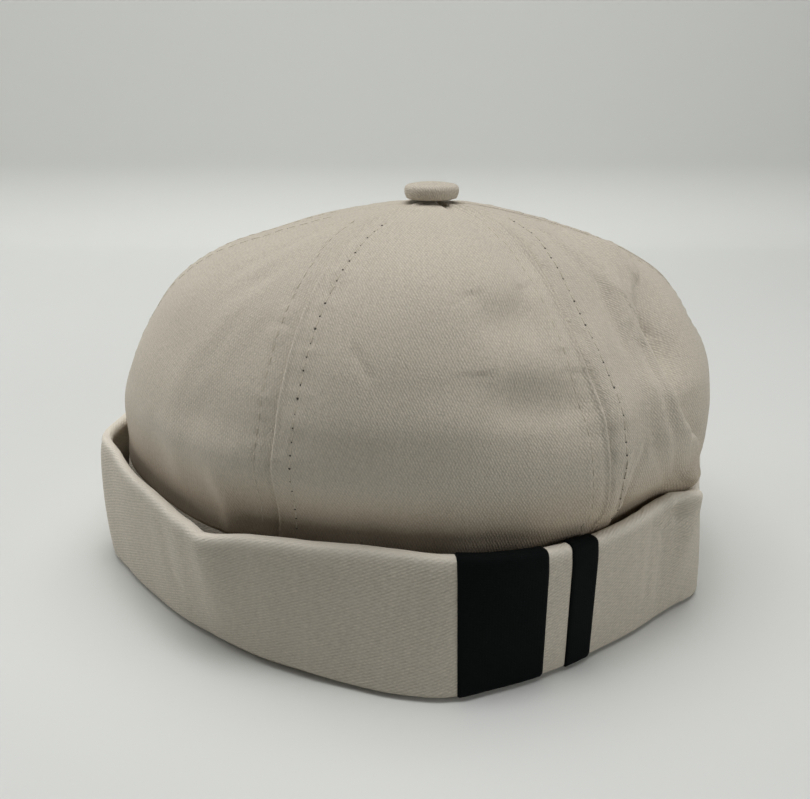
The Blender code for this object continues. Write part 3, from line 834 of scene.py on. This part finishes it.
def turned_piece(name, profile, gather):
    """A round piece on the crown's tilted top, from a profile of radius, height and gather."""
    profile = np.array(profile)
    turns = np.linspace(0, 2 * np.pi, TURNED_COLUMNS, endpoint=False)
    radius = profile[:, 0][:, None] + profile[:, 2][:, None] * gather(turns)[None, :]
    height = np.repeat(profile[:, 1][:, None], TURNED_COLUMNS, axis=1)
    side, tilt = radius * np.sin(turns), -math.atan(CROWN_LEAN)
    foot = CROWN_HEIGHT - CROWN_LEAN * APEX_SIDE + BUTTON_GAP
    points = np.stack((
        radius * np.cos(turns) + APEX_BACK,
        side * math.cos(tilt) - height * math.sin(tilt) + APEX_SIDE,
        side * math.sin(tilt) + height * math.cos(tilt) + foot,
    ), axis=-1)
    index = np.arange(len(profile) * TURNED_COLUMNS).reshape(len(profile), TURNED_COLUMNS)
    on = np.roll(index, -1, axis=1)
    faces = np.stack((index[1:], on[1:], on[:-1], index[:-1]), axis=-1).reshape(-1, 4)
    length = running(np.hypot(*np.diff(profile[:, :2], axis=0).T))[:, None]
    # The map lies clear of its lowest places, which the material darkens as painted shade.
    clear_of_painted_shade = 0.10
    flat = np.stack((length * np.cos(turns), clear_of_painted_shade + length * np.sin(turns)), axis=-1)
    return make_mesh(name, points.reshape(-1, 3), faces, flat.reshape(-1, 2)[faces.ravel()])


def gathers(turns):
    """The small uneven pleats round the edge of the button's cover."""
    return 0.00008 * (np.sin(17 * turns) + 0.7 * np.sin(29 * turns + 1))


def button_pieces():
    """The button's cover, gathered at its edge and tucked under, and the hard core inside it."""
    edge, cloth, dome, tuck = 0.0016, 0.0006, 0.0007, 0.0003
    flat, top, inner = BUTTON_RADIUS - edge, BUTTON_HEIGHT - dome, edge - cloth
    cover = [(share * flat, BUTTON_HEIGHT - dome * share**2.2, 0.0) for share in np.linspace(0, 1, 12)]
    for turn in np.linspace(0.5 * np.pi, 0, 8)[1:]:
        drop = 1 - math.sin(turn)
        cover.append((flat + edge * math.cos(turn), top - edge * drop, 0.10 + 0.25 * drop))
    for height in np.linspace(0.0030, 0.0011, 6):
        inward = 0.0004 * (1 - (height - 0.0011) / 0.0019) ** 2
        cover.append((BUTTON_RADIUS - inward, height, 0.5))
    cover += [(0.0078, 0.0006, 1.0), (0.0070, tuck, 1.0), (0.0056, tuck, 1.0)]
    cover += [(0.0056, tuck + cloth, 1.0), (0.0068, tuck + cloth, 1.0)]
    cover += [(BUTTON_RADIUS - 0.0011, 0.0017, 0.5), (BUTTON_RADIUS - cloth, 0.0030, 0.5)]
    for turn in np.linspace(0, 0.5 * np.pi, 5):
        cover.append((flat + inner * math.cos(turn), top - edge + inner * math.sin(turn), 0.1))
    cover += [(share * flat, BUTTON_HEIGHT - cloth - dome * share**2.2, 0.0) for share in (0.7, 0.4, 0.0)]
    core = [(0.0, 0.0047, 0.0), (0.0060, 0.0045, 0.0), (0.0076, 0.0036, 0.0), (0.0074, 0.0020, 0.0)]
    core += [(0.0066, 0.0012, 0.0), (0.0020, 0.0010, 0.0), (0.0020, -0.0040, 0.0), (0.0, -0.0042, 0.0)]
    return turned_piece("button_cover", cover, gathers), turned_piece("button_core", core, np.zeros_like)


class Nodes:
    """Short ways to add nodes to a material."""

    def __init__(self, name):
        self.material = bpy.data.materials.new(name)
        self.material.use_nodes = True
        self.tree = self.material.node_tree
        self.shader = self.tree.nodes["Principled BSDF"]

    def feed(self, node, inputs):
        """Set a node's inputs, each to a value or to another node's output."""
        for key, value in inputs.items():
            if isinstance(value, bpy.types.NodeSocket):
                self.tree.links.new(value, node.inputs[key])
            else:
                node.inputs[key].default_value = value

    def node(self, kind, inputs, output=0, **settings):
        """The output of a new node."""
        made = self.tree.nodes.new("ShaderNode" + kind)
        for key, value in settings.items():
            setattr(made, key, value)
        self.feed(made, inputs)
        return made.outputs[output]

    def math(self, operation, *values):
        return self.node("Math", dict(enumerate(values)), operation=operation)

    def total(self, *parts):
        """The sum of values, each times its factor."""
        scaled = [self.math("MULTIPLY", value, factor) for value, factor in parts]
        result = scaled[0]
        for part in scaled[1:]:
            result = self.math("ADD", result, part)
        return result

    def line(self, value, factor, start):
        """The value times a factor, on top of a start."""
        return self.math("ADD", self.math("MULTIPLY", value, factor), start)

    def wave(self, phase):
        """A sine wave between 0 and 1."""
        return self.line(self.math("SINE", phase), 0.5, 0.5)

    def sides(self, place):
        """The first two numbers of a place."""
        split = self.tree.nodes.new("ShaderNodeSeparateXYZ")
        self.feed(split, {0: place})
        return split.outputs["X"], split.outputs["Y"]

    def noise(self, vector, scale, detail=2.0, roughness=0.5):
        inputs = {"Scale": scale, "Detail": detail, "Roughness": roughness, "Vector": vector}
        return self.node("TexNoise", inputs, "Fac")

    def stretch(self, value, factor):
        """The value's spread about a half made wider."""
        return self.line(value, factor, 0.5 - factor / 2)

    def fall(self, value, low, high):
        """1 up to low and 0 from high on, smooth between them."""
        inputs = {"From Min": low, "From Max": high, "To Min": 1.0, "To Max": 0.0, "Value": value}
        return self.node("MapRange", inputs, interpolation_type="SMOOTHSTEP")

    def mix(self, share, low, high, blend="MIX"):
        """One colour turned into another, or multiplied by it, as far as the share says."""
        low, high = ((*value, 1.0) if isinstance(value, tuple) else value for value in (low, high))
        inputs = {"Factor": share, 6: low, 7: high}
        return self.node("Mix", inputs, 2, data_type="RGBA", blend_type=blend)

    def surface(self, colour, roughness, specular):
        self.feed(self.shader, {"Base Color": colour, "Roughness": roughness})
        self.shader.inputs["Specular IOR Level"].default_value = specular

    def relief(self, height, strength, depth):
        inputs = {"Strength": strength, "Distance": depth, "Height": height}
        self.feed(self.shader, {"Normal": self.node("Bump", inputs)})


def twill(name, angle, pitch, broken, light, dark, depth, painted_highlight_place=None, painted_shade_reach=None):
    """Cotton twill: ribs at an angle over the cloth's own map.

    It is paler along one height of the map, a painted highlight along the cuff's rolled rim, and darker
    from the foot of the map up to another height, painted shade where the crown draws in behind the rim,
    if these places are given.
    """
    n = Nodes(name)
    place = n.node("UVMap", {}, "UV", uv_map="cloth")
    u, v = n.sides(place)
    turn = math.radians(angle)
    wander = n.math("MULTIPLY", n.math("SUBTRACT", n.noise(place, 620.0, 2.0), 0.5), 2.6 + 3.0 * broken)
    across = n.total((u, -math.sin(turn)), (v, math.cos(turn)))
    along = n.total((u, math.cos(turn)), (v, math.sin(turn)))
    rib_phase = n.line(across, 2 * math.pi / pitch, wander)
    rib = n.wave(rib_phase)
    yarn = n.wave(n.total((along, 2 * math.pi / (1.7 * pitch)), (rib_phase, 0.5)))
    knots = n.math("MULTIPLY", n.math("MULTIPLY", rib, yarn), 0.35 + 0.40 * broken)
    weave = n.line(rib, 0.65 - 0.40 * broken, knots)
    tufts = {"X": n.math("MULTIPLY", across, 1.2 / pitch), "Y": n.math("MULTIPLY", along, 0.42 / pitch)}
    tuft = n.stretch(n.noise(n.node("CombineXYZ", tufts), 1.0, 1.5, 0.6), 2.8)
    speck = n.stretch(n.noise(place, 1700.0, 2.0, 0.6), 2.8)
    fibre = n.noise(place, 4600.0, 3.0, 0.7)
    height = n.total((weave, 0.64), (fibre, 0.14), (tuft, 0.42), (speck, 0.20 + 0.16 * broken))
    height = n.math("SUBTRACT", height, 0.05)
    slubs = n.node("Mapping", {"Scale": (900.0, 40.0, 1.0), "Vector": place})
    streak = n.noise(slubs, 1.0, 2.0, 0.6)
    mottle = n.noise(place, 38.0, 4.0, 0.6)
    # The colour is partly painted shade, darker where the weave's height is low, and partly uneven yarn
    # tone from the streaks and the mottle.
    colour = n.mix(n.total((height, 0.62), (streak, 0.18), (mottle, 0.20)), dark, light)
    # Painted highlight: a paler band along one height of the cuff's map, where the rolled rim catches the
    # light.
    if painted_highlight_place:
        off = n.math("ABSOLUTE", n.math("SUBTRACT", v, painted_highlight_place))
        painted_highlight = n.math("MULTIPLY", n.fall(off, 0.0012, 0.0060), 0.80)
        colour = n.mix(painted_highlight, colour, (0.80, 0.745, 0.645))
    # Painted shade: darker from the foot of the map up to a height, where the crown draws in behind the
    # cuff's rim.
    if painted_shade_reach:
        colour = n.mix(n.fall(v, 0.004, painted_shade_reach), colour, (0.80, 0.735, 0.66), "MULTIPLY")
    n.surface(colour, n.line(fibre, 0.12, 0.82), 0.22)
    n.relief(height, 0.9, depth)
    n.shader.inputs["Sheen Weight"].default_value = 0.12
    n.shader.inputs["Sheen Roughness"].default_value = 0.5
    n.shader.inputs["Sheen Tint"].default_value = (0.95, 0.92, 0.86, 1.0)
    n.material.diffuse_color = (*light, 1.0)
    return n.material


def tape_material():
    """Woven tape with fine ribs across it."""
    n = Nodes("black_tape")
    place = n.node("UVMap", {}, "UV", uv_map="cloth")
    u, v = n.sides(place)
    rib_pitch, cord_pitch = 0.00052, 0.00090
    ribs = n.math("SINE", n.math("MULTIPLY", v, 2 * math.pi / rib_pitch))
    cords = n.math("SINE", n.math("MULTIPLY", u, 2 * math.pi / cord_pitch))
    fibre = n.noise(place, 3800.0, 3.0, 0.7)
    height = n.total((ribs, 0.35), (cords, 0.15), (fibre, 0.5))
    shade = n.total((height, 0.5), (n.noise(place, 60.0, 3.0), 0.5))
    colour = n.mix(shade, (0.0016, 0.0024, 0.0026), (0.0062, 0.0078, 0.0080))
    n.surface(colour, n.line(fibre, 0.18, 0.70), 0.06)
    n.relief(height, 0.6, 0.00006)
    return n.material


def plain_thread(name, light, dark, roughness):
    """Sewing thread, its colour uneven."""
    n = Nodes(name)
    fibre = n.noise(n.node("TexCoord", {}, "Object"), 2600.0, 3.0, 0.7)
    n.surface(n.mix(fibre, dark, light), roughness, 0.25)
    return n.material


def stage_material(name, colour):
    """A pale, matte paper surface, with painted shade that makes it dimmer towards the sides of the wall.
    """
    n = Nodes(name)
    place = n.node("TexCoord", {}, "Object")
    x, y = n.sides(place)
    side_shade = n.math("SUBTRACT", 1.0, n.fall(n.math("ABSOLUTE", x), 0.05, 0.50))
    far = n.math("SUBTRACT", 1.0, n.fall(y, 0.10, 0.60))
    # Painted shade: darker towards the sides and the back of the stage, with a little random tone on top.
    share = n.line(n.noise(place, 6.0, 3.0), 0.08, n.math("MULTIPLY", side_shade, far))
    n.surface(n.mix(share, colour, tuple(0.80 * c for c in colour)), 0.75, 0.2)
    return n.material


def make_stage():
    """A floor that curves up into a wall, which is low, so that a view from behind looks over it."""
    half, front, back, bend, top = 1.2, -1.2, 0.38, 0.05, 0.17
    line = [(y, 0.0) for y in (front, -0.2, 0.1)]
    for turn in np.linspace(0, 0.5 * np.pi, 24):
        line.append((back + bend * math.sin(turn), bend * (1 - math.cos(turn))))
    line.append((back + bend, top))
    points = [(x, y, z) for y, z in line for x in (-half, half)]
    faces = [(2 * i, 2 * i + 1, 2 * i + 3, 2 * i + 2) for i in range(len(line) - 1)]
    mesh = bpy.data.meshes.new("floor")
    mesh.from_pydata(points, [], faces)
    mesh.shade_smooth()
    mesh.materials.append(stage_material("paper", (0.70, 0.71, 0.685)))
    floor = add_object("floor", mesh)


def make_lights():
    """A soft light box: a large light overhead, weaker ones at the sides, none at the camera."""
    world = bpy.data.worlds.new("studio")
    world.use_nodes = True
    world.node_tree.nodes["Background"].inputs["Color"].default_value = (1.0, 0.99, 0.96, 1.0)
    world.node_tree.nodes["Background"].inputs["Strength"].default_value = 0.01
    bpy.context.scene.world = world
    for name, place, target, size, power in LIGHTS:
        light = bpy.data.lights.new(name, "AREA")
        light.shape = "RECTANGLE"
        light.size, light.size_y = size
        light.energy = power
        made = add_object(name, light)
        made.location = place
        made.rotation_euler = (Vector(target) - Vector(place)).to_track_quat("-Z", "Y").to_euler()


def make_camera():
    """The camera at the photograph's viewing angle."""
    camera = add_object("camera", bpy.data.cameras.new("camera"))
    camera.data.sensor_width = SENSOR_WIDTH
    camera.data.lens = SENSOR_WIDTH * FOCAL_PIXELS / IMAGE_WIDTH
    camera.location = Vector(CAMERA_PLACE) - Vector(MIDDLE)
    camera.rotation_euler = (math.radians(90 - CAMERA_TILT), 0.0, 0.0)
    camera.data.clip_start = 0.01
    bpy.context.scene.camera = camera


def build_crown(cloth, seams):
    """The crown's six panels between its seams."""
    names = ("crown_front_left", "crown_side_left", "crown_back_left")
    names += ("crown_back_right", "crown_side_right", "crown_front_right")
    panels = [Panel(name, number, *seams[number:number + 2]) for number, name in enumerate(names)]
    for panel in panels:
        made = panel_sheet(panel)
        made.data.materials.append(cloth)
        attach(made, "root")
        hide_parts(panel.name)
    return panels


def build_cuff(cloth):
    """The folded band."""
    cuff = cuff_cloth()
    cuff.data.materials.append(cloth)
    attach(cuff, "root")
    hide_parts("cuff")


def build_tapes(black):
    """The broad tape and the slim one beside it."""
    broad, end = tape_cloth("tape_broad_cloth", TAPE_START, TAPE_BROAD)
    spacing = math.degrees(TAPE_SPACING / outer_face(end, CUFF_HEIGHT / 2))
    slim, _ = tape_cloth("tape_slim_cloth", end + spacing, TAPE_SLIM)
    for made, node, width in ((broad, "tape_broad", TAPE_BROAD), (slim, "tape_slim", TAPE_SLIM)):
        made.data.materials.append(black)
        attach(made, "root")
        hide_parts(node)


def build_button(cloth, thread):
    """The covered button."""
    cover, core = button_pieces()
    cover.data.materials.append(cloth)
    core.data.materials.append(thread)
    for made in (cover, core):
        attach(made, "root")
    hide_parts("crown_button")


def build_stitches(seams, panels, thread, hole_shade):
    """A row of stitches on either side of each seam."""
    rises = np.linspace(0.06, 0.955, 300)
    for number, shape in enumerate(SEAM_SHAPES):
        seam = seams[number](rises)
        offset = np.degrees(ROW_OFFSET / 1000 / crown_radius(seam, rises))
        # The panel before the first seam ends one turn on.
        turn = 360 if number == 0 else 0
        before = panels[number - 1].point(seam + turn - offset, rises)
        rows = [before, panels[number].point(seam + offset, rises)]
        made = stitches("stitches_" + shape[0], rows, thread, hole_shade)
        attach(made, "root")


def main():
    """Build the cap's cloth, its stage and its light."""
    make_camera()
    make_stage()
    make_lights()
    bpy.context.scene.view_settings.view_transform = "Standard"
    light, dark = (0.64, 0.58, 0.485), (0.35, 0.315, 0.255)
    # The crown's cloth is darker towards its foot: painted shade where it draws in behind the cuff's rim.
    crown_twill = twill("beige_twill_crown", -62.0, 0.00072, 1.0, light, dark, 0.00014, painted_shade_reach=0.028)
    light, dark = (0.64, 0.585, 0.49), (0.34, 0.31, 0.255)
    # The cuff's painted highlight lies along its rolled rim.
    painted_highlight_place = CUFF_HEIGHT + 0.0005
    cuff_twill = twill("beige_twill_cuff", 24.0, 0.00092, 0.4, light, dark, 0.00018, painted_highlight_place=painted_highlight_place)
    black = tape_material()
    thread = plain_thread("beige_thread", (0.66, 0.60, 0.49), (0.44, 0.40, 0.32), 0.7)
    # Painted shade: a dark thread-like material for the discs that stand in for the needle holes.
    hole_shade = plain_thread("needle_hole_shade", (0.10, 0.09, 0.075), (0.05, 0.045, 0.038), 0.9)

    front_side, back_side = near_seam(1), near_seam(2)
    seams = [straight_seam(180), front_side, back_side, straight_seam(360)]
    seams += [mirrored(back_side), mirrored(front_side), straight_seam(540)]
    panels = build_crown(crown_twill, seams)
    build_cuff(cuff_twill)
    build_tapes(black)
    build_button(crown_twill, thread)
    build_stitches(seams, panels, thread, hole_shade)


main()
